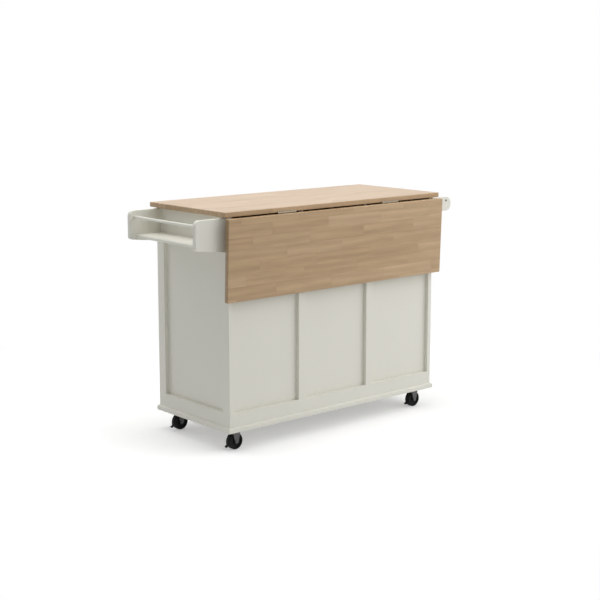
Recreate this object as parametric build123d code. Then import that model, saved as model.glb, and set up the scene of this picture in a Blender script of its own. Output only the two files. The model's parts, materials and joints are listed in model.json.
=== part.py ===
from build123d import *
from math import asin, cos, degrees, hypot, radians, sin
import os

# Kitchen island cart with a drop leaf, a spice rack and a towel rail, in millimetres.
# X runs along the cart towards the spice rack, Y towards the leaf at the back, Z up from the floor.
# Pieces are placed about the middle of the cabinet and moved to the shared origin at the end.

# Worktop
worktop_length = 1124
worktop_depth = 483
worktop_height = 914
worktop_thickness = 19
worktop_edge_radius = 2.5
end_overhang = 24
long_overhang = 13

# Cabinet frames
frame_thickness = 18
panel_recess = 15
panel_lap = 8
end_stile_width = 43
middle_stile_width = 36
end_top_rail = 121
end_bottom_rail = 52
back_top_rail = 33
back_bottom_rail = 52
back_slot = 12
front_top_rail = 45
front_bottom_rail = 40
partition_thickness = 18

# Base
base_foot = 79
moulding_height = 20
moulding_step = 8
bottom_board_thickness = 18

# Cupboard shelves
shelf_thickness = 15
shelf_height = 500
shelf_side_gap = 1
shelf_end_gap = 5
pin_radius = 2.5
pin_head_radius = 3.5
pin_depth = 9
pin_stand = 8
pin_inset = 31
pin_rows = 3
pin_pitch = 32

# Worktop brackets
angle_leg = 22
angle_thickness = 2
angle_width = 30
angle_end_spacing = 200
angle_back_spacing = 700

# Spice rack
rack_reach = 141
rack_root_height = 126
rack_end_height = 110
rack_drop = 5
rack_bracket_thickness = 18
rack_bracket_inset = 8
rack_top_corner = 20
rack_foot_corner = 10
rack_rail_radius = 5.5
rack_rail_out = 120
rack_rail_drop = 29
rack_shelf_reach = 115
rack_shelf_thickness = 13
rack_shelf_drop = 98
rack_shelf_edge_radius = 6
rail_socket = 9

# Towel rail
towel_reach = 120
towel_bracket_height = 58
towel_bracket_drop = 6
towel_bracket_thickness = 18
towel_rail_radius = 9

# Drop leaf and its hinges
leaf_drop = 311
leaf_rest_gap = 6
leaf_button_reach = 285
leaf_button_radius = 10
hinge_edge_gap = 4
hinge_length = 90
hinge_spacing = 544
hinge_flap_width = 38
hinge_flap_thickness = 2
hinge_barrel_radius = 3.6
hinge_pin_radius = 1.5

# Leaf stays
stay_pin_reach = 105
stay_pin_radius = 2
stay_fall = 120
stay_width = 18
stay_thickness = 10
stay_plate_thickness = 1.5
stay_plate_width = 30
stay_plate_length = 40
stay_plate_gap = 1
stay_ear_gap = 0.4
track_depth = 10
track_wall = 1.5
track_side_gap = 1.5
track_top_margin = 18
track_foot_margin = 8

# Doors
front_gap = 3
door_thickness = 18
door_stile_width = 43
door_recess = 9
door_hinge_length = 50
door_hinge_inset = 90
door_barrel_radius = 3
door_barrel_gap = 0.4
door_hinge_pin_radius = 1.5
door_leaf_thickness = 1.2
door_leaf_width = 14
door_knob_height = 620

# Drawers
drawer_names = ("top", "middle", "bottom")
top_drawer_height = 150
drawer_front_border = 40
drawer_back_gap = 41
drawer_wall = 12
drawer_bottom_thickness = 5
drawer_bottom_lift = 8
drawer_groove = 5
drawer_box_lift = 14
drawer_box_headroom = 26
runner_width = 12.7
runner_height = 40
runner_wall = 1.2
runner_setback = 4
runner_back_gap = 26
runner_lip = 9

# Knobs
knob_stand = 25
knob_head_radius = 15
knob_head_thickness = 12
knob_head_bevel = 4
knob_face_radius = 10
knob_neck_radius = 6
knob_neck_flare = 3
knob_base_radius = 10
knob_base_thickness = 2.5

# Casters
caster_end_inset = 58
caster_back_inset = 42.5
caster_front_inset = 58.5
caster_trail = 4
caster_plate_size = 58
caster_plate_thickness = 2.5
caster_plate_corner = 6
race_top_radius = 21
race_foot_radius = 16
wheel_radius = 32
wheel_width = 26
wheel_rim_step = 1
wheel_shoulder = 3
wheel_rim_radius = 24
wheel_hub_radius = 11
wheel_web_width = 16
axle_radius = 4
axle_head_radius = 6.5
axle_head_thickness = 2
fork_thickness = 2.5
fork_top_half_width = 17
fork_foot_radius = 8
fork_crown_gap = 3.5
kingpin_radius = 5
kingpin_head_radius = 8
kingpin_head_thickness = 2
pedal_pivot_reach = 36
pedal_pivot_angle = 62
pedal_barrel_radius = 3.4
pedal_pin_radius = 1.6
pedal_width = 14
pedal_tread_gap = 0.5
pedal_thickness = 2.5
pedal_end_angle = -18
pedal_toe_length = 13
pedal_toe_angle = -38

# Clearances
running_clearance = 0.05
seat_clearance = 0.3

# Derived places
cabinet_top = worktop_height - worktop_thickness
half_length = worktop_length / 2 - end_overhang
half_depth = worktop_depth / 2 - long_overhang
inner_half_length = half_length - frame_thickness
inner_half_depth = half_depth - frame_thickness
infill_thickness = frame_thickness - panel_recess
back_top = cabinet_top - back_slot
board_top = base_foot + moulding_height
bay_width = (2 * inner_half_length - 2 * middle_stile_width) / 3
stile_x = (bay_width + middle_stile_width) / 2
opening_low = board_top + front_bottom_rail
opening_high = cabinet_top - front_top_rail
pivot_y = worktop_depth / 2 + hinge_edge_gap
pivot_z = cabinet_top
leaf_tilt = degrees(asin((pivot_y - half_depth - leaf_rest_gap) / (hinge_edge_gap + leaf_drop)))
leaf_swing = 90 + leaf_tilt


def block(x_from, x_to, y_from, y_to, z_from, z_to):
    """Rectangular piece between two corners."""
    middle = Pos((x_from + x_to) / 2, (y_from + y_to) / 2, (z_from + z_to) / 2)
    return middle * Box(abs(x_to - x_from), abs(y_to - y_from), abs(z_to - z_from))


def along_x(profile, x_from, x_to):
    """Sweep a profile drawn in Y and Z along X."""
    return extrude(Plane.YZ.offset(min(x_from, x_to)) * profile, abs(x_to - x_from))


def along_y(profile, y_from, y_to):
    """Sweep a profile drawn in X and Z along Y."""
    return extrude(Plane.XZ.offset(-y_to) * profile, y_to - y_from)


def cylinder_x(radius, x_from, x_to, y, z):
    """Round bar along X."""
    return along_x(Pos(y, z) * Circle(radius), x_from, x_to)


def cylinder_y(radius, y_from, y_to, x, z):
    """Round bar along Y."""
    return along_y(Pos(x, z) * Circle(radius), y_from, y_to)


def cylinder_z(radius, z_from, z_to, x, y):
    """Round bar along Z."""
    return extrude(Plane.XY.offset(z_from) * Pos(x, y) * Circle(radius), z_to - z_from)


def turned(outline):
    """Piece turned about Z from its outline of radii and heights."""
    return revolve(Plane.XZ * make_face(Polyline(*outline, close=True)), Axis.Z)


def both_ends(pieces):
    """The pieces and their mirror images at the other end of the cart."""
    return list(pieces) + [mirror(piece, about=Plane.YZ) for piece in pieces]


def front_and_back(pieces):
    """The pieces and their mirror images at the other long side of the cart."""
    return list(pieces) + [mirror(piece, about=Plane.XZ) for piece in pieces]


def eased(board, radius):
    """Board with all its edges rounded."""
    return fillet(board.edges(), radius)


# Cabinet


def end_infill():
    """Panel of the rack end, let into the inner side of the frame."""
    half_width = half_depth - end_stile_width + panel_lap
    low = board_top + end_bottom_rail - panel_lap
    high = cabinet_top - end_top_rail + panel_lap
    return block(inner_half_length, inner_half_length + infill_thickness, -half_width, half_width, low, high)


def back_infills():
    """Three panels of the back, let into the inner side of the frame and into the end stiles."""
    low = board_top + back_bottom_rail - panel_lap
    high = back_top - back_top_rail + panel_lap
    panels = []
    for bay in (-1, 0, 1):
        middle = bay * (bay_width + middle_stile_width)
        half_width = bay_width / 2 + panel_lap
        panels.append(block(middle - half_width, middle + half_width, inner_half_depth,
                            inner_half_depth + infill_thickness, low, high))
    return panels


def pin_heights():
    """Heights of the shelf pin holes, the middle one in use."""
    in_use = shelf_height - pin_head_radius
    return [in_use + (row - pin_rows // 2) * pin_pitch for row in range(pin_rows)]


def pin_holes(face_x, depth):
    """Columns of shelf pin holes bored into an upright from its face."""
    return [cylinder_x(pin_radius + running_clearance, face_x, face_x + depth, y, z)
            for y in (-half_depth + pin_inset, half_depth - pin_inset) for z in pin_heights()]


def end_frame():
    """Two stiles and two rails of the rack end."""
    rail_half = half_depth - end_stile_width
    stiles = [block(inner_half_length, half_length, y, y + side * end_stile_width, board_top, cabinet_top)
              for side, y in ((1, -half_depth), (-1, half_depth))]
    heights = ((board_top, board_top + end_bottom_rail), (cabinet_top - end_top_rail, cabinet_top))
    rails = [block(inner_half_length, half_length, -rail_half, rail_half, low, high) for low, high in heights]
    cuts = [end_infill(), back_infills()[-1]] + pin_holes(inner_half_length, pin_depth)
    return [member - cuts for member in stiles + rails]


def long_frame(y_from, y_to, bottom_rail, top_rail, top, cuts):
    """Two rails and two middle stiles of a long side, up to a height."""
    rails = [block(-inner_half_length, inner_half_length, y_from, y_to, low, high)
             for low, high in ((board_top, board_top + bottom_rail), (top - top_rail, top))]
    stiles = [block(x - middle_stile_width / 2, x + middle_stile_width / 2, y_from, y_to,
                    board_top + bottom_rail, top - top_rail) for x in (-stile_x, stile_x)]
    return [member - cuts if cuts else member for member in rails + stiles]


def partition():
    """Upright between the drawers and the cupboard at the rack end, flush with the drawer opening."""
    drawer_face = stile_x - middle_stile_width / 2
    cupboard_face = drawer_face + partition_thickness
    board = block(drawer_face, cupboard_face, -inner_half_depth, inner_half_depth, board_top, cabinet_top)
    return board - pin_holes(cupboard_face, -pin_depth)


def cupboard_shelf():
    """Loose shelf of the cupboard at the rack end."""
    x_from = stile_x - middle_stile_width / 2 + partition_thickness + shelf_side_gap
    x_to = inner_half_length - shelf_side_gap
    y_to = inner_half_depth - shelf_end_gap
    return block(x_from, x_to, -y_to, y_to, shelf_height, shelf_height + shelf_thickness)


def shelf_pins():
    """Four pins with round heads under the shelf at the rack end."""
    partition_face = stile_x - middle_stile_width / 2 + partition_thickness
    height = shelf_height - pin_head_radius
    pins = []
    for y in (-half_depth + pin_inset, half_depth - pin_inset):
        for face, inward in ((partition_face, 1), (inner_half_length, -1)):
            shank = cylinder_x(pin_radius, face - inward * pin_depth, face, y, height)
            head = cylinder_x(pin_head_radius, face, face + inward * pin_stand, y, height)
            pins.append(shank + head)
    return pins


def base_moulding():
    """Four mitred lengths of moulding with a rounded upper edge, round the bottom board."""
    straight = moulding_height - moulding_step
    outline = Polyline((0, moulding_height), (0, 0), (moulding_step, 0), (moulding_step, straight))
    crown = CenterArc((0, straight), moulding_step, 0, 90)
    profile = make_face(outline + crown)

    def length(half_run, half_across):
        outer = half_run + moulding_step
        bar = along_x(Pos(half_across, base_foot) * profile, -outer, outer)
        mitred = make_face(Polyline((-half_run, half_across), (half_run, half_across),
                                    (outer, half_across + moulding_step),
                                    (-outer, half_across + moulding_step), close=True))
        return bar & extrude(Plane.XY.offset(base_foot) * mitred, moulding_height)

    long_side = length(half_length, half_depth)
    short_side = Rot(Z=-90) * length(half_depth, half_length)
    return front_and_back([long_side]) + both_ends([short_side])


def worktop_brackets():
    """Angle brackets in the corner under the worktop, on the ends and on the back rail."""
    def angle(y_face, z_face):
        outline = make_face(Polyline((y_face, z_face), (y_face - angle_leg, z_face),
                                     (y_face - angle_leg, z_face - angle_thickness),
                                     (y_face - angle_thickness, z_face - angle_thickness),
                                     (y_face - angle_thickness, z_face - angle_leg),
                                     (y_face, z_face - angle_leg), close=True))
        return along_x(outline, -angle_width / 2, angle_width / 2)

    back = [Pos(x, 0, 0) * angle(inner_half_depth, cabinet_top)
            for x in (-angle_back_spacing / 2, angle_back_spacing / 2)]
    ends = [Pos(0, y, 0) * Rot(Z=-90) * angle(inner_half_length, cabinet_top)
            for y in (-angle_end_spacing / 2, angle_end_spacing / 2)]
    return back + both_ends(ends)


def bottom_board():
    """Board that carries the cabinet, with the casters below."""
    return block(-half_length, half_length, -half_depth, half_depth,
                 board_top - bottom_board_thickness, board_top)


# Spice rack and towel rail


def rack_brackets():
    """Two rounded brackets of the spice rack, deeper at the cabinet, with sockets for the rail."""
    top = cabinet_top - rack_drop
    outer_x = half_length + rack_reach
    plate = make_face(Polyline((half_length, top), (half_length, top - rack_root_height),
                               (outer_x, top - rack_end_height), (outer_x, top), close=True))
    outer = plate.vertices().group_by(Axis.X)[-1].sort_by(Axis.Y)
    foot_corner, top_corner = outer[0], outer[1]
    plate = fillet(top_corner, rack_top_corner)
    foot_corner = plate.vertices().sort_by_distance(foot_corner.center())[0]
    plate = fillet(foot_corner, rack_foot_corner)
    outer_face = half_depth - rack_bracket_inset
    bracket = along_y(plate, outer_face - rack_bracket_thickness, outer_face)
    socket = cylinder_y(rack_rail_radius + running_clearance, outer_face - rack_bracket_thickness,
                        outer_face - rack_bracket_thickness + rail_socket, half_length + rack_rail_out,
                        cabinet_top - rack_rail_drop)
    return front_and_back([bracket - socket])


def rack_rail():
    """Dowel rail of the spice rack."""
    reach = half_depth - rack_bracket_inset - rack_bracket_thickness + rail_socket
    return cylinder_y(rack_rail_radius, -reach, reach, half_length + rack_rail_out,
                      cabinet_top - rack_rail_drop)


def rack_shelf():
    """Shelf of the spice rack with an eased front edge."""
    reach = half_depth - rack_bracket_inset - rack_bracket_thickness
    top = cabinet_top - rack_shelf_drop
    board = block(half_length, half_length + rack_shelf_reach, -reach, reach,
                  top - rack_shelf_thickness, top)
    front_edges = board.edges().filter_by(Axis.Y).group_by(Axis.X)[-1]
    return fillet(front_edges, rack_shelf_edge_radius)


def towel_centre():
    """Distance out and height of the towel rail."""
    radius = towel_bracket_height / 2
    return half_length + towel_reach - radius, cabinet_top - towel_bracket_drop - radius


def towel_brackets():
    """Two brackets with round ends, with sockets for the towel rail."""
    out, height = towel_centre()
    arm = Pos((half_length + out) / 2, height) * Rectangle(out - half_length, towel_bracket_height)
    plate = arm + Pos(out, height) * Circle(towel_bracket_height / 2)
    outer_face = half_depth - rack_bracket_inset
    bracket = along_y(plate, outer_face - towel_bracket_thickness, outer_face)
    socket = cylinder_y(towel_rail_radius + running_clearance, outer_face - towel_bracket_thickness,
                        outer_face - towel_bracket_thickness + rail_socket, out, height)
    return [mirror(piece, about=Plane.YZ) for piece in front_and_back([bracket - socket])]


def towel_rail():
    """Dowel that towels hang on."""
    out, height = towel_centre()
    reach = half_depth - rack_bracket_inset - towel_bracket_thickness + rail_socket
    return cylinder_y(towel_rail_radius, -reach, reach, -out, height)


# Worktop, drop leaf and its hinges. The leaf and what rides on it are drawn raised, level with the
# worktop, and then swung down about the hinge line.


def hung(piece):
    """Piece of the raised leaf swung down to where the leaf hangs."""
    return Pos(0, pivot_y, pivot_z) * Rot(X=-leaf_swing) * Pos(0, -pivot_y, -pivot_z) * piece


def hinge_centres():
    """Middles of the two leaf hinges along X."""
    return (-hinge_spacing / 2, hinge_spacing / 2)


def flap_plate(outward):
    """Flat plates of the leaf hinges, let into the worktop or into the raised leaf."""
    near = pivot_y + outward * hinge_edge_gap
    far = near + outward * hinge_flap_width
    half = hinge_length / 2
    return [block(x - half, x + half, near, far, pivot_z, pivot_z + hinge_flap_thickness)
            for x in hinge_centres()]


def knuckle(x_from, x_to, outward):
    """Rolled knuckle of a leaf hinge with the tongue that joins it to its plate."""
    barrel = cylinder_x(hinge_barrel_radius, x_from, x_to, pivot_y, pivot_z)
    tongue = block(x_from, x_to, pivot_y, pivot_y + outward * hinge_edge_gap, pivot_z,
                   pivot_z + hinge_flap_thickness)
    bore = cylinder_x(hinge_pin_radius + running_clearance, x_from, x_to, pivot_y, pivot_z)
    return barrel + tongue - bore


def leaf_hinge_plates():
    """Fixed plates under the worktop, each with the two outer knuckles."""
    plates = []
    third = hinge_length / 3
    for x, plate in zip(hinge_centres(), flap_plate(-1)):
        start = x - hinge_length / 2
        plate += knuckle(start, start + third - seat_clearance, -1)
        plate += knuckle(start + 2 * third + seat_clearance, start + hinge_length, -1)
        plates.append(plate)
    return plates


def leaf_hinge_flaps():
    """Moving flaps on the leaf, each with the middle knuckle."""
    third = hinge_length / 3
    flaps = [plate + knuckle(x - third / 2, x + third / 2, 1)
             for x, plate in zip(hinge_centres(), flap_plate(1))]
    return [hung(flap) for flap in flaps]


def leaf_hinge_pins():
    """Pins through the knuckles of the leaf hinges."""
    return [cylinder_x(hinge_pin_radius, x - hinge_length / 2, x + hinge_length / 2, pivot_y, pivot_z)
            for x in hinge_centres()]


def worktop():
    """Butcher-block worktop with rounded edges and housings for the fixed hinge plates."""
    board = block(-worktop_length / 2, worktop_length / 2, -worktop_depth / 2, worktop_depth / 2,
                  cabinet_top, worktop_height)
    return eased(board, worktop_edge_radius) - flap_plate(-1)


def drop_leaf():
    """Hanging leaf with rounded edges and housings for the moving flaps."""
    near = pivot_y + hinge_edge_gap
    board = block(-worktop_length / 2, worktop_length / 2, near, near + leaf_drop,
                  cabinet_top, worktop_height)
    return hung(eased(board, worktop_edge_radius) - flap_plate(1))


def leaf_buttons():
    """Two round wooden buttons that the hanging leaf rests on, against the middle stiles of the back."""
    low_edge = leaf_button_reach + leaf_button_radius
    stand = pivot_y - half_depth - low_edge * sin(radians(leaf_tilt)) - seat_clearance
    return [hung(cylinder_z(leaf_button_radius, pivot_z - stand, pivot_z, x, pivot_y + leaf_button_reach))
            for x in (-stile_x, stile_x)]


# Leaf stays: a strut on the leaf folds flat against it and, as the leaf rises, swings back until its
# foot stands in a track beside the middle stile of the cabinet back.

stay_x = stile_x + middle_stile_width / 2 + track_wall + track_side_gap + stay_width / 2
stay_pin_drop = stay_plate_thickness + stay_plate_gap + stay_thickness / 2
stay_pin_y = pivot_y + stay_pin_reach
stay_pin_z = pivot_z - stay_pin_drop
track_face = inner_half_depth + infill_thickness
stay_foot_y = track_face + track_wall + seat_clearance + stay_thickness / 2
stay_run = stay_pin_y - stay_foot_y
stay_length = hypot(stay_run, stay_fall)


def swung_down(y, z):
    """Where a point of the raised leaf lies when the leaf hangs."""
    turn = radians(-leaf_swing)
    out, up = y - pivot_y, z - pivot_z
    return pivot_y + out * cos(turn) - up * sin(turn), pivot_z + out * sin(turn) + up * cos(turn)


def stay_strut():
    """Wooden strut at the rack end with round ends, folded along the leaf."""
    middle = Pos(stay_pin_y + stay_length / 2, stay_pin_z)
    outline = middle * SlotCenterToCenter(stay_length, stay_thickness)
    bar = along_x(outline, stay_x - stay_width / 2, stay_x + stay_width / 2)
    hole = cylinder_x(stay_pin_radius + running_clearance, stay_x - stay_width / 2, stay_x + stay_width / 2,
                      stay_pin_y, stay_pin_z)
    return hung(bar - hole)


def stay_bracket():
    """Bracket on the leaf at the rack end: a plate with two ears, and the pin through them."""
    plate = block(stay_x - stay_plate_width / 2, stay_x + stay_plate_width / 2,
                  stay_pin_y - stay_plate_length / 2, stay_pin_y + stay_plate_length / 2,
                  pivot_z - stay_plate_thickness, pivot_z)
    ear_radius = stay_thickness / 2
    ear = Pos(stay_pin_y, stay_pin_z) * Circle(ear_radius)
    ear += Pos(stay_pin_y, (stay_pin_z + pivot_z) / 2) * Rectangle(2 * ear_radius, stay_pin_drop)
    ear -= Pos(stay_pin_y, stay_pin_z) * Circle(stay_pin_radius + running_clearance)
    inner = stay_width / 2 + stay_ear_gap
    outer = inner + stay_plate_thickness
    bracket = plate + along_x(ear, stay_x - outer, stay_x - inner)
    bracket += along_x(ear, stay_x + inner, stay_x + outer)
    pin = cylinder_x(stay_pin_radius, stay_x - outer, stay_x + outer, stay_pin_y, stay_pin_z)
    return [hung(bracket), hung(pin)]


def stay_track():
    """Channel beside the middle stile at the rack end that the foot of the strut stands in."""
    foot_rest_z = swung_down(stay_pin_y + stay_length, stay_pin_z)[1]
    low = foot_rest_z - stay_thickness / 2 - track_foot_margin
    high = stay_pin_z - stay_fall + track_top_margin
    half_width = stay_width / 2 + track_side_gap + track_wall
    channel = block(stay_x - half_width, stay_x + half_width, track_face, track_face + track_depth, low, high)
    hollow = block(stay_x - half_width + track_wall, stay_x + half_width - track_wall,
                   track_face + track_wall, track_face + track_depth, low, high)
    return channel - hollow


# Doors


def knob(x, y_face, z):
    """Turned knob standing forward of a face at the front."""
    head_from = knob_stand - knob_head_thickness
    outline = ((0, 0), (knob_base_radius, 0), (knob_base_radius, knob_base_thickness),
               (knob_neck_radius, knob_base_thickness + knob_neck_flare), (knob_neck_radius, head_from),
               (knob_head_radius, head_from + knob_head_bevel),
               (knob_head_radius, knob_stand - knob_head_bevel),
               (knob_face_radius, knob_stand), (0, knob_stand))
    return Pos(x, y_face, z) * Rot(X=90) * turned(outline)


door_low = opening_low + front_gap
door_high = opening_high - front_gap
door_inner_x = stile_x + middle_stile_width / 2 + front_gap
door_outer_x = inner_half_length - front_gap
door_axis_x = inner_half_length - front_gap / 2
door_axis_y = -half_depth - door_barrel_radius - door_barrel_gap
door_hinge_heights = (door_low + door_hinge_inset, door_high - door_hinge_inset)


def door():
    """Stiles, rails and infill of the door at the rack end."""
    front, back = -half_depth, -half_depth + door_thickness
    stiles = [block(x, x + side * door_stile_width, front, back, door_low, door_high)
              for side, x in ((1, door_inner_x), (-1, door_outer_x))]
    rail_from, rail_to = door_inner_x + door_stile_width, door_outer_x - door_stile_width
    rails = [block(rail_from, rail_to, front, back, z, z + side * door_stile_width)
             for side, z in ((1, door_low), (-1, door_high))]
    infill = block(rail_from - panel_lap, rail_to + panel_lap, front + door_recess, back,
                   door_low + door_stile_width - panel_lap, door_high - door_stile_width + panel_lap)
    return [member - infill for member in stiles + rails] + [infill]


def door_knuckle(z_from, z_to, plate_from, plate_to):
    """Rolled knuckle of a door hinge with the tongue that joins it to its plate."""
    barrel = cylinder_z(door_barrel_radius, z_from, z_to, door_axis_x, door_axis_y)
    tongue = block(plate_from, plate_to, door_axis_y, -half_depth, z_from, z_to)
    bore = cylinder_z(door_hinge_pin_radius + running_clearance, z_from, z_to, door_axis_x, door_axis_y)
    return barrel + tongue - bore


def door_hinge_half(plate_from, plate_to, spans):
    """Plates of the door hinges at the rack end, with knuckles over the given shares of the length."""
    halves = []
    for z in door_hinge_heights:
        start = z - door_hinge_length / 2
        half = block(plate_from, plate_to, -half_depth, -half_depth + door_leaf_width,
                     start, start + door_hinge_length)
        for low, high in spans:
            half += door_knuckle(start + low, start + high, plate_from, plate_to)
        halves.append(half)
    return halves


def door_hinge_plates():
    """Fixed halves of the door hinges at the rack end, on the end frame."""
    third = door_hinge_length / 3
    spans = ((0, third - seat_clearance), (2 * third + seat_clearance, door_hinge_length))
    return door_hinge_half(inner_half_length - door_leaf_thickness, inner_half_length, spans)


def door_hinge_leaves():
    """Moving halves of the door hinges at the rack end, on the edge of the door."""
    third = door_hinge_length / 3
    return door_hinge_half(door_outer_x, door_outer_x + door_leaf_thickness, ((third, 2 * third),))


def door_hinge_pins():
    """Pins of the door hinges at the rack end."""
    return [cylinder_z(door_hinge_pin_radius, z - door_hinge_length / 2, z + door_hinge_length / 2,
                       door_axis_x, door_axis_y) for z in door_hinge_heights]


# Drawers


def drawer_spans():
    """Lowest and highest edge of each drawer front, from the top down."""
    free = opening_high - opening_low - (len(drawer_names) + 1) * front_gap
    deep = (free - top_drawer_height) / (len(drawer_names) - 1)
    spans = []
    high = opening_high - front_gap
    for height in [top_drawer_height] + [deep] * (len(drawer_names) - 1):
        spans.append((high - height, high))
        high -= height + front_gap
    return spans


drawer_half_opening = stile_x - middle_stile_width / 2
drawer_half_box = drawer_half_opening - runner_width
drawer_box_front = -half_depth + door_thickness
drawer_depth = inner_half_depth - drawer_back_gap - drawer_box_front
runner_length = drawer_depth - runner_setback - runner_back_gap


def drawer_front(low, high):
    """Drawer front with a panel cut back inside a plain border."""
    half = drawer_half_opening - front_gap
    slab = block(-half, half, -half_depth, drawer_box_front, low, high)
    panel = block(-half + drawer_front_border, half - drawer_front_border, -half_depth,
                  -half_depth + door_recess, low + drawer_front_border, high - drawer_front_border)
    return slab - panel


def drawer_box(low, high):
    """Two sides, two ends and the bottom of a drawer, the bottom let into grooves."""
    z_from, z_to = low + drawer_box_lift, high - drawer_box_headroom
    y_from, y_to = drawer_box_front, drawer_box_front + drawer_depth
    inner = drawer_half_box - drawer_wall
    sides = [block(side * inner, side * drawer_half_box, y_from, y_to, z_from, z_to) for side in (-1, 1)]
    ends = [block(-inner, inner, y, y + side * drawer_wall, z_from, z_to)
            for side, y in ((1, y_from), (-1, y_to))]
    floor_low = z_from + drawer_bottom_lift
    floor = block(-inner - drawer_groove, inner + drawer_groove, y_from + drawer_wall - drawer_groove,
                  y_to - drawer_wall + drawer_groove, floor_low, floor_low + drawer_bottom_thickness)
    return [board - floor for board in sides + ends] + [floor]


def runner_height_of(low, high):
    """Height of the middle of a drawer's runners."""
    return (low + drawer_box_lift + high - drawer_box_headroom) / 2


def channel(x_web, x_lip, height, z):
    """Runner member: a web with a flange along its upper and lower edge."""
    inward = 1 if x_lip > x_web else -1
    y_from = drawer_box_front + runner_setback
    body = block(x_web, x_lip, y_from, y_from + runner_length, z - height / 2, z + height / 2)
    hollow = block(x_web + inward * runner_wall, x_lip, y_from, y_from + runner_length,
                   z - height / 2 + runner_wall, z + height / 2 - runner_wall)
    return body - hollow


def drawer_runners(low, high):
    """Fixed runner members of one drawer, on the partitions."""
    z = runner_height_of(low, high)
    return both_ends([channel(drawer_half_opening, drawer_half_opening - runner_lip, runner_height, z)])


def drawer_slides(low, high):
    """Moving runner members of one drawer, inside the fixed ones."""
    z = runner_height_of(low, high)
    height = runner_height - 2 * runner_wall - 2 * seat_clearance
    return both_ends([channel(drawer_half_box, drawer_half_box + runner_lip, height, z)])


# Casters. Each is drawn with its kingpin over the origin, and trails towards the rack end.

caster_mount = board_top - bottom_board_thickness
plate_foot = caster_mount - caster_plate_thickness
crown_foot = 2 * wheel_radius + fork_crown_gap
crown_top = crown_foot + fork_thickness
fork_inner = wheel_width / 2 + seat_clearance
fork_outer = fork_inner + fork_thickness
pedal_pivot_x = caster_trail + pedal_pivot_reach * cos(radians(pedal_pivot_angle))
pedal_pivot_z = wheel_radius + pedal_pivot_reach * sin(radians(pedal_pivot_angle))


def caster_plate():
    """Top plate with the race that the fork turns under."""
    square = RectangleRounded(caster_plate_size, caster_plate_size, caster_plate_corner)
    plate = extrude(Plane.XY.offset(plate_foot) * square, caster_plate_thickness)
    race = turned(((0, plate_foot), (race_top_radius, plate_foot),
                   (race_foot_radius, crown_top + seat_clearance), (0, crown_top + seat_clearance)))
    return plate + race - cylinder_z(kingpin_radius + running_clearance, crown_top, caster_mount, 0, 0)


def caster_kingpin():
    """Rivet that carries the fork, its head under the fork crown."""
    shank = cylinder_z(kingpin_radius, crown_foot - seat_clearance, caster_mount, 0, 0)
    head = cylinder_z(kingpin_head_radius, crown_foot - seat_clearance - kingpin_head_thickness,
                      crown_foot - seat_clearance, 0, 0)
    return shank + head


def caster_fork():
    """Pressed fork with tapered legs and ears for the brake pedal, its axle and the pedal pin."""
    crown_from = caster_trail - fork_top_half_width
    crown_to = caster_trail + fork_top_half_width
    axle = Pos(caster_trail, wheel_radius) * Circle(fork_foot_radius)
    crown = Rectangle(2 * fork_top_half_width, fork_thickness)
    crown = Pos(caster_trail, (crown_foot + crown_top) / 2) * crown
    leg = make_hull((axle + crown).edges())
    ear = Pos(pedal_pivot_x, pedal_pivot_z) * Circle(pedal_barrel_radius)
    leg += make_hull((ear + crown).edges())
    leg -= Pos(caster_trail, wheel_radius) * Circle(axle_radius + running_clearance)
    leg -= Pos(pedal_pivot_x, pedal_pivot_z) * Circle(pedal_pin_radius + running_clearance)
    fork = block(crown_from, crown_to, -fork_outer, fork_outer, crown_foot, crown_top)
    fork += front_and_back([along_y(leg, fork_inner, fork_outer)])
    fork -= cylinder_z(kingpin_radius + running_clearance, crown_foot, crown_top, 0, 0)
    shaft = cylinder_y(axle_radius, -fork_outer, fork_outer, caster_trail, wheel_radius)
    heads = front_and_back([cylinder_y(axle_head_radius, fork_outer, fork_outer + axle_head_thickness,
                                       caster_trail, wheel_radius)])
    pedal_pin = cylinder_y(pedal_pin_radius, -fork_outer, fork_outer, pedal_pivot_x, pedal_pivot_z)
    return [fork, shaft + heads, pedal_pin]


def caster_wheel():
    """Moulded wheel with bevelled shoulders, a hub and a thinner web between hub and rim."""
    hub = wheel_width / 2
    rim = hub - wheel_rim_step
    web = wheel_web_width / 2
    side = ((axle_radius + running_clearance, hub), (wheel_hub_radius, hub), (wheel_hub_radius, web),
            (wheel_rim_radius, web), (wheel_rim_radius, rim), (wheel_radius - wheel_shoulder, rim),
            (wheel_radius, rim - wheel_shoulder))
    outline = side + tuple((radius, -across) for radius, across in reversed(side))
    return Pos(caster_trail, 0, wheel_radius) * Rot(X=90) * turned(outline)


def caster_pedal():
    """Brake pedal, pressed down: it hangs from its pin behind the tread and ends in a toe."""
    inner = wheel_radius + pedal_tread_gap
    middle = inner + pedal_thickness / 2
    end = radians(pedal_end_angle)
    centre = (caster_trail, wheel_radius)
    sweep = pedal_pivot_angle - pedal_end_angle
    arm = CenterArc(centre, middle, pedal_end_angle, sweep)
    heel = (caster_trail + middle * cos(end), wheel_radius + middle * sin(end))
    toe_turn = radians(pedal_toe_angle)
    tip = (heel[0] + pedal_toe_length * cos(toe_turn), heel[1] + pedal_toe_length * sin(toe_turn))
    blade = trace(arm, pedal_thickness) + trace(Line(heel, tip), pedal_thickness)
    blade += Pos(*heel) * Circle(pedal_thickness / 2)
    blade += Pos(pedal_pivot_x, pedal_pivot_z) * Circle(pedal_barrel_radius)
    blade -= Pos(pedal_pivot_x, pedal_pivot_z) * Circle(pedal_pin_radius + running_clearance)
    return along_y(blade, -pedal_width / 2, pedal_width / 2)


caster_corners = {
    "rack_front": (half_length - caster_end_inset, -half_depth + caster_front_inset),
    "rack_back": (half_length - caster_end_inset, half_depth - caster_back_inset),
    "towel_front": (-half_length + caster_end_inset, -half_depth + caster_front_inset),
    "towel_back": (-half_length + caster_end_inset, half_depth - caster_back_inset),
}


# Assembly: each node's pieces


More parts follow.
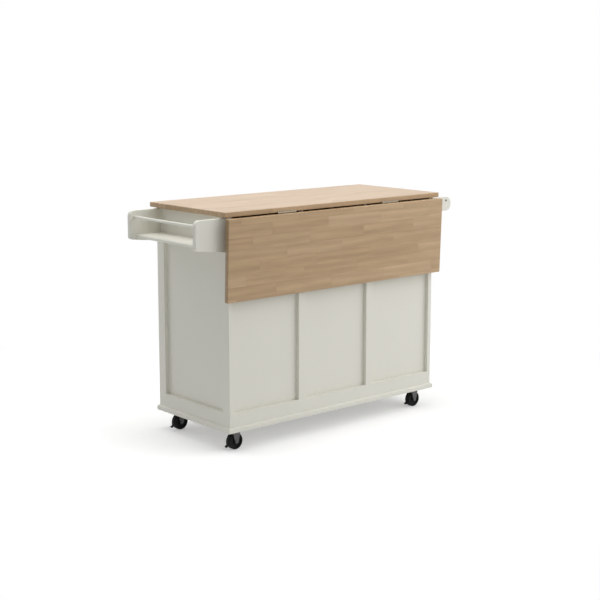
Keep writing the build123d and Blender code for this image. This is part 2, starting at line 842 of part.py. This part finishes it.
def cart():
    """Every node of the cart by name, each a list of its separate pieces."""
    nodes = {
        "worktop": [worktop()],
        "end_frames": both_ends(end_frame()),
        "end_infills": both_ends([end_infill()]),
        "back_frame": long_frame(inner_half_depth, half_depth, back_bottom_rail, back_top_rail, back_top,
                                 back_infills()),
        "back_infills": back_infills(),
        "front_frame": long_frame(-half_depth, -inner_half_depth, front_bottom_rail, front_top_rail,
                                  cabinet_top, []),
        "partitions": both_ends([partition()]),
        "bottom_board": [bottom_board()],
        "base_moulding": base_moulding(),
        "cupboard_shelves": both_ends([cupboard_shelf()]),
        "shelf_pins": both_ends(shelf_pins()),
        "worktop_brackets": worktop_brackets(),
        "rack_brackets": rack_brackets(),
        "rack_shelf": [rack_shelf()],
        "rack_rail": [rack_rail()],
        "towel_brackets": towel_brackets(),
        "towel_rail": [towel_rail()],
        "leaf_hinge_plates": leaf_hinge_plates(),
        "leaf_hinge_pins": leaf_hinge_pins(),
        "leaf_hinge_flaps": leaf_hinge_flaps(),
        "drop_leaf": [drop_leaf()] + leaf_buttons(),
        "stay_tracks": both_ends([stay_track()]),
        "stay_brackets": both_ends(stay_bracket()),
        "door_hinge_plates": both_ends(door_hinge_plates()),
        "door_hinge_pins": both_ends(door_hinge_pins()),
    }
    rack_side = {"stay_strut": [stay_strut()], "door": door(), "door_hinge_leaves": door_hinge_leaves(),
                 "door_knob": [knob(door_inner_x + door_stile_width / 2, -half_depth, door_knob_height)]}
    for name, pieces in rack_side.items():
        nodes[name + "_rack"] = pieces
        nodes[name + "_towel"] = [mirror(piece, about=Plane.YZ) for piece in pieces]
    nodes["drawer_runners"] = []
    for name, (low, high) in zip(drawer_names, drawer_spans()):
        nodes["drawer_runners"] += drawer_runners(low, high)
        nodes["drawer_front_" + name] = [drawer_front(low, high)]
        nodes["drawer_box_" + name] = drawer_box(low, high)
        nodes["drawer_slides_" + name] = drawer_slides(low, high)
        nodes["drawer_knob_" + name] = [knob(0, -half_depth + door_recess, (low + high) / 2)]
    nodes["caster_plates"] = []
    nodes["caster_kingpins"] = []
    for name, (x, y) in caster_corners.items():
        place = Pos(x, y, 0)
        nodes["caster_plates"].append(place * caster_plate())
        nodes["caster_kingpins"].append(place * caster_kingpin())
        nodes["caster_fork_" + name] = [place * piece for piece in caster_fork()]
        nodes["caster_wheel_" + name] = [place * caster_wheel()]
        nodes["caster_pedal_" + name] = [place * caster_pedal()]
    return nodes


def to_origin(nodes):
    """Shift from the middle of the cabinet to the origin, under the middle of the whole cart."""
    box = Compound([solid for pieces in nodes.values() for piece in pieces for solid in piece.solids()])
    box = box.bounding_box()
    return Pos(-(box.min.X + box.max.X) / 2, -(box.min.Y + box.max.Y) / 2, 0)


cart_nodes = cart()
origin_shift = to_origin(cart_nodes)
os.makedirs("parts", exist_ok=True)
for node, pieces in cart_nodes.items():
    solids = [origin_shift * solid for piece in pieces for solid in piece.solids()]
    export_step(Compound(children=solids), f"parts/{node}.step")
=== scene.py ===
import json
import math

import bmesh
import bpy
from mathutils import Matrix, Vector


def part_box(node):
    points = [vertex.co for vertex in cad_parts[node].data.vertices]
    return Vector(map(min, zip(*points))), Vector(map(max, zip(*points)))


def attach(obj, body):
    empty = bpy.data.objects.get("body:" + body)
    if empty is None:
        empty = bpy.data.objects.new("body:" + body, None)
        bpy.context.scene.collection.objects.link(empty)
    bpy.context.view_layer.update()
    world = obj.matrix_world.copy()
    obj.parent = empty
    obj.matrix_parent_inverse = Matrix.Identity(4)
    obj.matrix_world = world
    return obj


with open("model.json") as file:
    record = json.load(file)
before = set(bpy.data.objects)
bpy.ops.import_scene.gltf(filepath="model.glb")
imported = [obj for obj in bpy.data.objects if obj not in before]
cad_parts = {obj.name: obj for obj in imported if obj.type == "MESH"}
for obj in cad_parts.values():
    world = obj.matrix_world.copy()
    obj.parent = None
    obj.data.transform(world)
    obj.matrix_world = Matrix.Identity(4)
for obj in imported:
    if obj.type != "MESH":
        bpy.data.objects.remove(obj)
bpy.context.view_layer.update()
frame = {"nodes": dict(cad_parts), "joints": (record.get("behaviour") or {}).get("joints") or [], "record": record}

# Kitchen island cart: finishes, screws, studio light and the photograph's camera, in metres.

quarter_turn = math.pi / 2

# Camera, looking a little down at the back and the spice-rack end
camera_place = (3.3973, 3.9682, 1.4630)
camera_yaw = math.radians(40.652)
camera_pitch = math.radians(8.938)
camera_lens = 78.03
camera_sensor = 36.0
camera_shift = -0.06
camera_reach = 200.0

# Studio
key_place = (-2.3, 2.2, 2.75)
key_aim = (0.0, 0.0, 0.4)
key_size = 4.4
key_power = 110
fill_place = (0.4, -0.2, 4.0)
fill_aim = (0.2, 0.0, 0.5)
fill_size = 2.0
fill_power = 60
front_place = (1.6, -2.4, 2.8)
front_aim = (0.2, 0.0, 0.5)
front_size = 3.2
front_power = 38
ambient_strength = 0.28
white_strength = 1.0
floor_half_size = 60.0
floor_bounce = 0.8
floor_glow = 0.34
floor_colour = 0.82
fade_from = 0.8
fade_to = 2.0

# Colours, linear
paint_colour = (0.80, 0.79, 0.71)
board_colour = (0.74, 0.73, 0.66)
stave_light = (0.70, 0.488, 0.285)
stave_dark = (0.28, 0.179, 0.093)
end_grain_colour = (0.21, 0.13, 0.058)
drawer_light = (0.66, 0.52, 0.34)
drawer_dark = (0.56, 0.42, 0.25)
zinc_colour = (0.44, 0.405, 0.335)
black_steel_colour = (0.02, 0.018, 0.016)
nickel_colour = (0.60, 0.58, 0.54)
fork_colour = (0.12, 0.12, 0.122)
plastic_colour = (0.005, 0.005, 0.0055)
cap_colour = (0.17, 0.165, 0.15)

# Roughness at the two ends of each finish's pattern, and how metallic each metal is
satin_gloss = (0.36, 0.46)
laminate_gloss = (0.44, 0.54)
block_gloss = (0.36, 0.26)
plain_wood_gloss = (0.5, 0.38)
zinc_gloss = (0.36, 0.5)
nickel_gloss = (0.2, 0.34)
fork_gloss = (0.3, 0.46)
black_steel_gloss = (0.5, 0.65)
plastic_gloss = (0.48, 0.7)
bare_metal = 1.0
grey_metal = 0.75
blackened_metal = 0.5

# Paint: shares of its colour, pattern scales per metre, and its peel
paint_shades = (0.975, 1.02)
paint_cloud_scale = 3.0
paint_gloss_scale = 14.0
peel_scale = 420.0
peel_strength = 0.06
peel_height = 0.0004

# Metal: shares of its colour, pattern scales per metre, and its scratches
metal_shades = (0.9, 1.06)
metal_cloud_scale = 60.0
scratch_scale = 900.0
scratch_strength = 0.05
scratch_height = 0.0001

# Plastic: its weak shine, its dust and its moulded texture
plastic_specular = 0.2
dust_scale = 70.0
dust_falloff = 3.0
dust_shade = 2.6
mould_scale = 1500.0
mould_strength = 0.1
mould_height = 0.0001

# Grain: shares of its three patterns, and their stretch along and across, per metre or as shares of it
fibre_share = 0.34
wave_share = 0.12
patch_share = 0.54
wave_stretch = (0.4, 0.2)
patch_stretch = (0.9, 0.3)
block_grain = (5.0, 95.0)
plain_wood_grain = (4.0, 80.0)
plain_wood_relief = 0.1
plain_wood_relief_height = 0.0003

# Butcher block
stave_width = 0.046
stave_length = 0.28
stave_joint = 0.0006
stave_stagger = 7.0
stave_grain_offset = 9.0
stave_tints = (0.94, 1.06)
stave_saturations = (1.03, 0.96)
seam_share = 0.45
seam_shade = 0.55
seam_depth = 0.6
block_relief = 0.12
block_relief_height = 0.0004
end_grain_slope = 0.8
worktop_end_grain = 0.14
# The leaf's end is darkened more than the worktop's: the extra darkening on the leaf's end is painted shade.
leaf_end_grain_and_shade = 0.42

# Soft edges
soft_edge = 0.0012
metal_edge = soft_edge / 3
plastic_edge = soft_edge / 2
edge_samples = 4

# Screw heads, with the rim, dome and recess as shares of the radius and the rise
screw_radius = 0.0038
screw_rise = 0.0016
screw_sides = 16
screw_rim_rise = 0.35
screw_dome_radius = 0.78
screw_dome_rise = 0.8
screw_recess_radius = 0.45
screw_recess_rise = 0.35
cap_radius = 0.0045
cap_rise = 0.0014
cap_above_rail = 0.014

# Screw rows on each hinge flap: distance from the hinge line, and from the hinge's middle
flap_screw_rows = ((0.016, 0.034), (0.032, 0.0204))
hinge_spacing = 0.544
plate_screw_spread = 0.0215
plate_thickness = 0.0025


# Shader helpers


def connect(tree, value, socket):
    """Link an output to a socket, or set the socket to a plain value."""
    if isinstance(value, bpy.types.NodeSocket):
        tree.links.new(value, socket)
    else:
        socket.default_value = value


def feed(tree, node, **inputs):
    """Connect a node's inputs, by name."""
    for name, value in inputs.items():
        connect(tree, value, node.inputs[name.replace("_", " ")])


def add_node(tree, kind, settings=None, **inputs):
    """New shader node with its settings and its inputs, by name."""
    node = tree.nodes.new(kind)
    for name, value in (settings or {}).items():
        setattr(node, name, value)
    feed(tree, node, **inputs)
    return node


def maths(tree, operation, *values):
    """Result of a maths node."""
    node = add_node(tree, "ShaderNodeMath", {"operation": operation})
    for value, socket in zip(values, node.inputs):
        connect(tree, value, socket)
    return node.outputs[0]


def noise(tree, vector, scale, detail=4.0, roughness=0.55):
    """Noise between 0 and 1 at a scale per metre."""
    node = add_node(tree, "ShaderNodeTexNoise", Vector=vector, Scale=scale, Detail=detail,
                    Roughness=roughness)
    return node.outputs["Fac"]


def between(tree, factor, low, high):
    """Map a factor of 0 to 1 to a range of numbers."""
    node = add_node(tree, "ShaderNodeMapRange", Value=factor, To_Min=low, To_Max=high)
    return node.outputs["Result"]


def colour_between(tree, factor, first, second):
    """Blend of two colours, each a plain colour or a socket."""
    node = add_node(tree, "ShaderNodeMix", {"data_type": "RGBA"})
    connect(tree, factor, node.inputs[0])
    for value, socket in ((first, node.inputs[6]), (second, node.inputs[7])):
        connect(tree, value if isinstance(value, bpy.types.NodeSocket) else (*value, 1.0), socket)
    return node.outputs[2]


def shaded(colour, share):
    """Colour made darker or lighter by a share."""
    return tuple(min(1.0, channel * share) for channel in colour)


def place_in_part(tree):
    """Coordinates of the part itself, in metres."""
    return add_node(tree, "ShaderNodeTexCoord").outputs["Object"]


def turned(tree, place, turn):
    """Coordinates turned by angles about X, Y and Z."""
    return add_node(tree, "ShaderNodeMapping", Vector=place, Rotation=turn).outputs[0]


def stretched(tree, place, along, across):
    """Coordinates drawn out along X, for grain."""
    return add_node(tree, "ShaderNodeMapping", Vector=place, Scale=(along, across, across)).outputs[0]


def new_material(name):
    """Material with a plain principled shader; returns the material, its tree and the shader."""
    material = bpy.data.materials.new(name)
    material.use_nodes = True
    tree = material.node_tree
    return material, tree, tree.nodes["Principled BSDF"]


def soften(tree, shader, height, strength, distance, edge=soft_edge):
    """Bump from a height, over edges that are rounded a little."""
    rounded = add_node(tree, "ShaderNodeBevel", {"samples": edge_samples}, Radius=edge)
    bump = add_node(tree, "ShaderNodeBump", Strength=strength, Distance=distance, Height=height,
                    Normal=rounded.outputs[0])
    feed(tree, shader, Normal=bump.outputs[0])


# Materials


def paint(name, colour, gloss):
    """Sprayed satin paint: faint clouding, uneven gloss and a fine peel."""
    material, tree, shader = new_material(name)
    place = place_in_part(tree)
    clouds = noise(tree, place, paint_cloud_scale)
    dark, light = (shaded(colour, share) for share in paint_shades)
    feed(tree, shader, Base_Color=colour_between(tree, clouds, dark, light),
         Roughness=between(tree, noise(tree, place, paint_gloss_scale), *gloss))
    soften(tree, shader, noise(tree, place, peel_scale, detail=2.0), peel_strength, peel_height)
    return material


def grain(tree, place, along, across):
    """Wood grain stretched along X: fine fibres, slow wavy rings and broad darker patches."""
    fibres = noise(tree, stretched(tree, place, along, across), 1.0, detail=6.0, roughness=0.62)
    wave_place = stretched(tree, place, along * wave_stretch[0], across * wave_stretch[1])
    waves = add_node(tree, "ShaderNodeTexWave", {"wave_type": "BANDS", "bands_direction": "Y"},
                     Vector=wave_place, Scale=0.5, Distortion=6.0, Detail=3.0)
    patch_place = stretched(tree, place, along * patch_stretch[0], across * patch_stretch[1])
    patches = noise(tree, patch_place, 1.0, detail=4.0, roughness=0.6)
    rings = maths(tree, "ADD", maths(tree, "MULTIPLY", waves.outputs["Fac"], wave_share),
                  maths(tree, "MULTIPLY", patches, patch_share))
    return maths(tree, "ADD", maths(tree, "MULTIPLY", fibres, fibre_share), rings)


def butcher_block(name, turn, end_grain_and_shade_share):
    """Staves along X with butt joints, each with its own tint and grain, and darker end grain; on the leaf the end
    grain share also holds painted shade on its end.

    The turn, about X, lays the board flat.
    """
    material, tree, shader = new_material(name)
    flat = turned(tree, place_in_part(tree), (turn, 0.0, 0.0))
    axes = add_node(tree, "ShaderNodeSeparateXYZ", Vector=flat)
    rows = maths(tree, "DIVIDE", axes.outputs["Y"], stave_width)
    row = maths(tree, "FLOOR", rows)
    stagger = add_node(tree, "ShaderNodeTexWhiteNoise", {"noise_dimensions": "1D"}, W=row)
    runs = maths(tree, "ADD", maths(tree, "DIVIDE", axes.outputs["X"], stave_length),
                 maths(tree, "MULTIPLY", stagger.outputs["Value"], stave_stagger))
    cell = add_node(tree, "ShaderNodeCombineXYZ", X=maths(tree, "FLOOR", runs), Y=row)
    stave = add_node(tree, "ShaderNodeTexWhiteNoise", {"noise_dimensions": "2D"}, Vector=cell.outputs[0])

    apart = add_node(tree, "ShaderNodeVectorMath", {"operation": "MULTIPLY_ADD"})
    for value, socket in zip((stave.outputs["Color"], (stave_grain_offset,) * 3, flat), apart.inputs):
        connect(tree, value, socket)
    streaks = grain(tree, apart.outputs[0], *block_grain)
    tinted = add_node(tree, "ShaderNodeHueSaturation",
                      Color=colour_between(tree, streaks, stave_dark, stave_light),
                      Value=between(tree, stave.outputs["Value"], *stave_tints),
                      Saturation=between(tree, stave.outputs["Value"], *stave_saturations))

    row_edge = maths(tree, "MULTIPLY", maths(tree, "PINGPONG", rows, 0.5), stave_width)
    run_edge = maths(tree, "MULTIPLY", maths(tree, "PINGPONG", runs, 0.5), stave_length)
    seam = maths(tree, "LESS_THAN", maths(tree, "MINIMUM", row_edge, run_edge), stave_joint / 2)
    joined = colour_between(tree, maths(tree, "MULTIPLY", seam, seam_share), tinted.outputs[0],
                            shaded(stave_dark, seam_shade))

    normal = add_node(tree, "ShaderNodeTexCoord").outputs["Normal"]
    facing = add_node(tree, "ShaderNodeSeparateXYZ", Vector=normal)
    end_grain = maths(tree, "GREATER_THAN", maths(tree, "ABSOLUTE", facing.outputs["X"]), end_grain_slope)
    # End faces are darkened towards the end grain colour by a share; on the leaf that share also paints shade on
    # its end.
    ended = colour_between(tree, maths(tree, "MULTIPLY", end_grain, end_grain_and_shade_share), joined,
                           end_grain_colour)
    feed(tree, shader, Base_Color=ended, Roughness=between(tree, streaks, *block_gloss))
    relief = maths(tree, "SUBTRACT", streaks, maths(tree, "MULTIPLY", seam, seam_depth))
    soften(tree, shader, relief, block_relief, block_relief_height)
    return material


def plain_wood(name, turn):
    """Straight-grained lacquered wood; turn swings the grain from X, by angles about X, Y and Z."""
    material, tree, shader = new_material(name)
    streaks = grain(tree, turned(tree, place_in_part(tree), turn), *plain_wood_grain)
    feed(tree, shader, Base_Color=colour_between(tree, streaks, drawer_dark, drawer_light),
         Roughness=between(tree, streaks, *plain_wood_gloss))
    soften(tree, shader, streaks, plain_wood_relief, plain_wood_relief_height)
    return material


def metal(name, colour, gloss, metallic):
    """Plated or blackened steel: fine scratches in the gloss and faint clouding."""
    material, tree, shader = new_material(name)
    place = place_in_part(tree)
    clouds = noise(tree, place, metal_cloud_scale)
    scratches = noise(tree, place, scratch_scale, detail=3.0)
    dark, light = (shaded(colour, share) for share in metal_shades)
    feed(tree, shader, Metallic=metallic, Base_Color=colour_between(tree, clouds, dark, light),
         Roughness=between(tree, scratches, *gloss))
    soften(tree, shader, scratches, scratch_strength, scratch_height, metal_edge)
    return material


def plastic(name, colour):
    """Moulded plastic with a fine texture and a little dust."""
    material, tree, shader = new_material(name)
    place = place_in_part(tree)
    dust = noise(tree, place, dust_scale, detail=5.0)
    cover = maths(tree, "POWER", dust, dust_falloff)
    dusty = colour_between(tree, cover, colour, shaded(colour, dust_shade))
    feed(tree, shader, Specular_IOR_Level=plastic_specular, Base_Color=dusty,
         Roughness=between(tree, dust, *plastic_gloss))
    soften(tree, shader, noise(tree, place, mould_scale, detail=2.0), mould_strength, mould_height,
           plastic_edge)
    return material


def seen_directly(tree):
    """1 for camera, mirror and glass rays, which see the white background, and 0 for the light's own."""
    path = add_node(tree, "ShaderNodeLightPath").outputs
    either = maths(tree, "MAXIMUM", path["Is Camera Ray"], path["Is Glossy Ray"])
    return maths(tree, "MAXIMUM", either, path["Is Transmission Ray"])


def floor_material():
    """White floor that takes the shadow near the cart and fades into the white background."""
    material = bpy.data.materials.new("studio_floor")
    material.use_nodes = True
    tree = material.node_tree
    tree.nodes.clear()
    direct = seen_directly(tree)
    shade = colour_between(tree, direct, (floor_bounce,) * 3, (floor_colour,) * 3)
    ground = add_node(tree, "ShaderNodeBsdfDiffuse", Color=shade)
    lift = add_node(tree, "ShaderNodeEmission", Strength=maths(tree, "MULTIPLY", direct, floor_glow))
    near = add_node(tree, "ShaderNodeAddShader")
    connect(tree, ground.outputs[0], near.inputs[0])
    connect(tree, lift.outputs[0], near.inputs[1])
    white = add_node(tree, "ShaderNodeEmission", Strength=white_strength)
    away = add_node(tree, "ShaderNodeVectorMath", {"operation": "LENGTH"})
    connect(tree, place_in_part(tree), away.inputs[0])
    fade = add_node(tree, "ShaderNodeMapRange", {"interpolation_type": "SMOOTHSTEP"},
                    Value=away.outputs["Value"], From_Min=fade_from, From_Max=fade_to)
    mix = add_node(tree, "ShaderNodeMixShader")
    mixed = (maths(tree, "MULTIPLY", fade.outputs[0], direct), near.outputs[0], white.outputs[0])
    for value, socket in zip(mixed, mix.inputs):
        connect(tree, value, socket)
    add_node(tree, "ShaderNodeOutputMaterial", Surface=mix.outputs[0])
    return material


# Finishes on the CAD nodes


def joint_named(name):
    """Joint of the part by name."""
    return next(joint for joint in frame["joints"] if joint["name"] == name)


leaf_swing = math.radians(joint_named("leaf_hinge")["range_deg"][1])
finishes = {
    "butcher_block": butcher_block("butcher_block", 0.0, worktop_end_grain),
    "painted_wood": paint("satin_paint", paint_colour, satin_gloss),
    "board": paint("laminated_board", board_colour, laminate_gloss),
    "drawer_wood": plain_wood("drawer_wood", (0.0, 0.0, quarter_turn)),
    "stay_wood": plain_wood("stay_wood", (0.0, quarter_turn, 0.0)),
    "hinge_steel": metal("zinc_plate", zinc_colour, zinc_gloss, bare_metal),
    "knob_metal": metal("satin_nickel", nickel_colour, nickel_gloss, bare_metal),
    "caster_steel": metal("grey_plate", fork_colour, fork_gloss, grey_metal),
    "caster_plastic": plastic("black_plastic", plastic_colour),
}
leaf_finish = butcher_block("butcher_block_leaf", leaf_swing, leaf_end_grain_and_shade)
bracket_finish = metal("black_steel", black_steel_colour, black_steel_gloss, blackened_metal)
cap_finish = plastic("screw_cap_plastic", cap_colour)


def dress(piece, material):
    """Give a piece one material all over."""
    piece.data.materials.clear()
    piece.data.materials.append(material)


for subpart in frame["record"]["subparts"]:
    dress(frame["nodes"][subpart["node"]], finishes[subpart["material_slot"]])
dress(frame["nodes"]["drop_leaf"], leaf_finish)
dress(frame["nodes"]["worktop_brackets"], bracket_finish)


# Screws and caps


def towards(normal, place):
    """Matrix that stands a piece made along Z on a place, facing along the normal."""
    return Matrix.Translation(place) @ Vector(normal).to_track_quat("Z", "Y").to_matrix().to_4x4()


def add_screw(mesh, normal, place, radius, rise):
    """Domed screw head with a round recess, standing on a surface."""
    rings = (
        (radius, 0.0),
        (radius, rise * screw_rim_rise),
        (radius * screw_dome_radius, rise * screw_dome_rise),
        (radius * screw_recess_radius, rise),
    )
    matrix = towards(normal, place)
    loops = []
    for ring_radius, height in rings:
        loop = []
        for side in range(screw_sides):
            angle = 2 * math.pi * side / screw_sides
            point = Vector((ring_radius * math.cos(angle), ring_radius * math.sin(angle), height))
            loop.append(mesh.verts.new(matrix @ point))
        loops.append(loop)
    for lower, upper in zip(loops, loops[1:]):
        for side in range(screw_sides):
            after = (side + 1) % screw_sides
            mesh.faces.new((lower[side], lower[after], upper[after], upper[side]))
    recess = mesh.verts.new(matrix @ Vector((0.0, 0.0, rise * screw_recess_rise)))
    for side in range(screw_sides):
        mesh.faces.new((loops[-1][side], loops[-1][(side + 1) % screw_sides], recess))
    mesh.faces.new(list(reversed(loops[0])))


def screw_group(name, body, slot, spots, radius=screw_radius, rise=screw_rise, material=None):
    """One piece of equal screws at (normal, place) spots, riding on a body."""
    mesh = bmesh.new()
    for normal, place in spots:
        add_screw(mesh, normal, place, radius, rise)
    data = bpy.data.meshes.new(name)
    mesh.to_mesh(data)
    mesh.free()
    piece = bpy.data.objects.new(name, data)
    bpy.context.scene.collection.objects.link(piece)
    dress(piece, material or finishes[slot])
    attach(piece, body)


down = (0.0, 0.0, -1.0)
to_leaf_side = (0.0, 1.0, 0.0)
to_front = (0.0, -1.0, 0.0)

leaf_pivot = joint_named("leaf_hinge")["pos_m"]
leaf_inward = (0.0, -math.sin(leaf_swing), -math.cos(leaf_swing))
hinge_middle = sum(corner[0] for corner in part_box("leaf_hinge_pins")) / 2


def flap_spot(across, reach):
    """Place on the inner face of the hanging leaf, at a distance from the hinge line."""
    return (hinge_middle + across, leaf_pivot[1] + reach * math.cos(leaf_swing),
            leaf_pivot[2] - reach * math.sin(leaf_swing))


flap_spots = []
for hinge in (-hinge_spacing / 2, hinge_spacing / 2):
    for reach, spread in flap_screw_rows:
        for side in (-1, 1):
            flap_spots.append((leaf_inward, flap_spot(hinge + side * spread, reach)))
screw_group("leaf_hinge_screws", "leaf", "hinge_steel", flap_spots)

plate_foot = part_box("caster_plates")[1][2] - plate_thickness
plate_spots = []
for joint in frame["joints"]:
    if joint["name"].endswith("_swivel"):
        for side_x in (-1, 1):
            for side_y in (-1, 1):
                screw_x = joint["pos_m"][0] + side_x * plate_screw_spread
                screw_y = joint["pos_m"][1] + side_y * plate_screw_spread
                plate_spots.append((down, (screw_x, screw_y, plate_foot)))
screw_group("caster_plate_screws", "cabinet", "caster_steel", plate_spots)

towel_low, towel_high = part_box("towel_brackets")
rail_low, rail_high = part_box("towel_rail")
cap_x = (rail_low[0] + rail_high[0]) / 2
cap_z = (rail_low[2] + rail_high[2]) / 2 + cap_above_rail
cap_spots = [(to_leaf_side, (cap_x, towel_high[1], cap_z)), (to_front, (cap_x, towel_low[1], cap_z))]
screw_group("towel_bracket_caps", "cabinet", "caster_plastic", cap_spots, cap_radius, cap_rise, cap_finish)


# Studio


def area_light(name, place, aim, size, power):
    """Square soft light at a place, aimed at a point; mirrors show the white background instead of it."""
    lamp = bpy.data.lights.new(name, "AREA")
    lamp.shape = "SQUARE"
    lamp.size = size
    lamp.energy = power
    light = bpy.data.objects.new(name, lamp)
    light.location = place
    light.rotation_euler = (Vector(aim) - Vector(place)).to_track_quat("-Z", "Y").to_euler()
    light.visible_glossy = False
    bpy.context.scene.collection.objects.link(light)


def studio_floor():
    """Large level floor under the casters."""
    mesh = bmesh.new()
    bmesh.ops.create_grid(mesh, x_segments=1, y_segments=1, size=floor_half_size)
    data = bpy.data.meshes.new("floor")
    mesh.to_mesh(data)
    mesh.free()
    floor = bpy.data.objects.new("floor", data)
    bpy.context.scene.collection.objects.link(floor)
    dress(floor, floor_material())


def studio_world():
    """Even pale light all round, seen as white."""
    world = bpy.data.worlds.new("studio")
    world.use_nodes = True
    tree = world.node_tree
    strength = between(tree, seen_directly(tree), ambient_strength, white_strength)
    feed(tree, tree.nodes["Background"], Color=(1.0, 1.0, 1.0, 1.0), Strength=strength)
    bpy.context.scene.world = world


def photograph_camera():
    """Camera that looks at the back and the spice-rack end from a little above."""
    lens = bpy.data.cameras.new("camera")
    lens.lens = camera_lens
    lens.sensor_width = camera_sensor
    lens.shift_y = camera_shift
    lens.clip_end = camera_reach
    camera = bpy.data.objects.new("camera", lens)
    camera.location = camera_place
    camera.rotation_euler = (quarter_turn - camera_pitch, 0.0, math.pi - camera_yaw)
    bpy.context.scene.collection.objects.link(camera)
    bpy.context.scene.camera = camera


area_light("key", key_place, key_aim, key_size, key_power)
area_light("fill", fill_place, fill_aim, fill_size, fill_power)
area_light("front", front_place, front_aim, front_size, front_power)
studio_floor()
studio_world()
photograph_camera()
bpy.context.scene.view_settings.view_transform = "Standard"
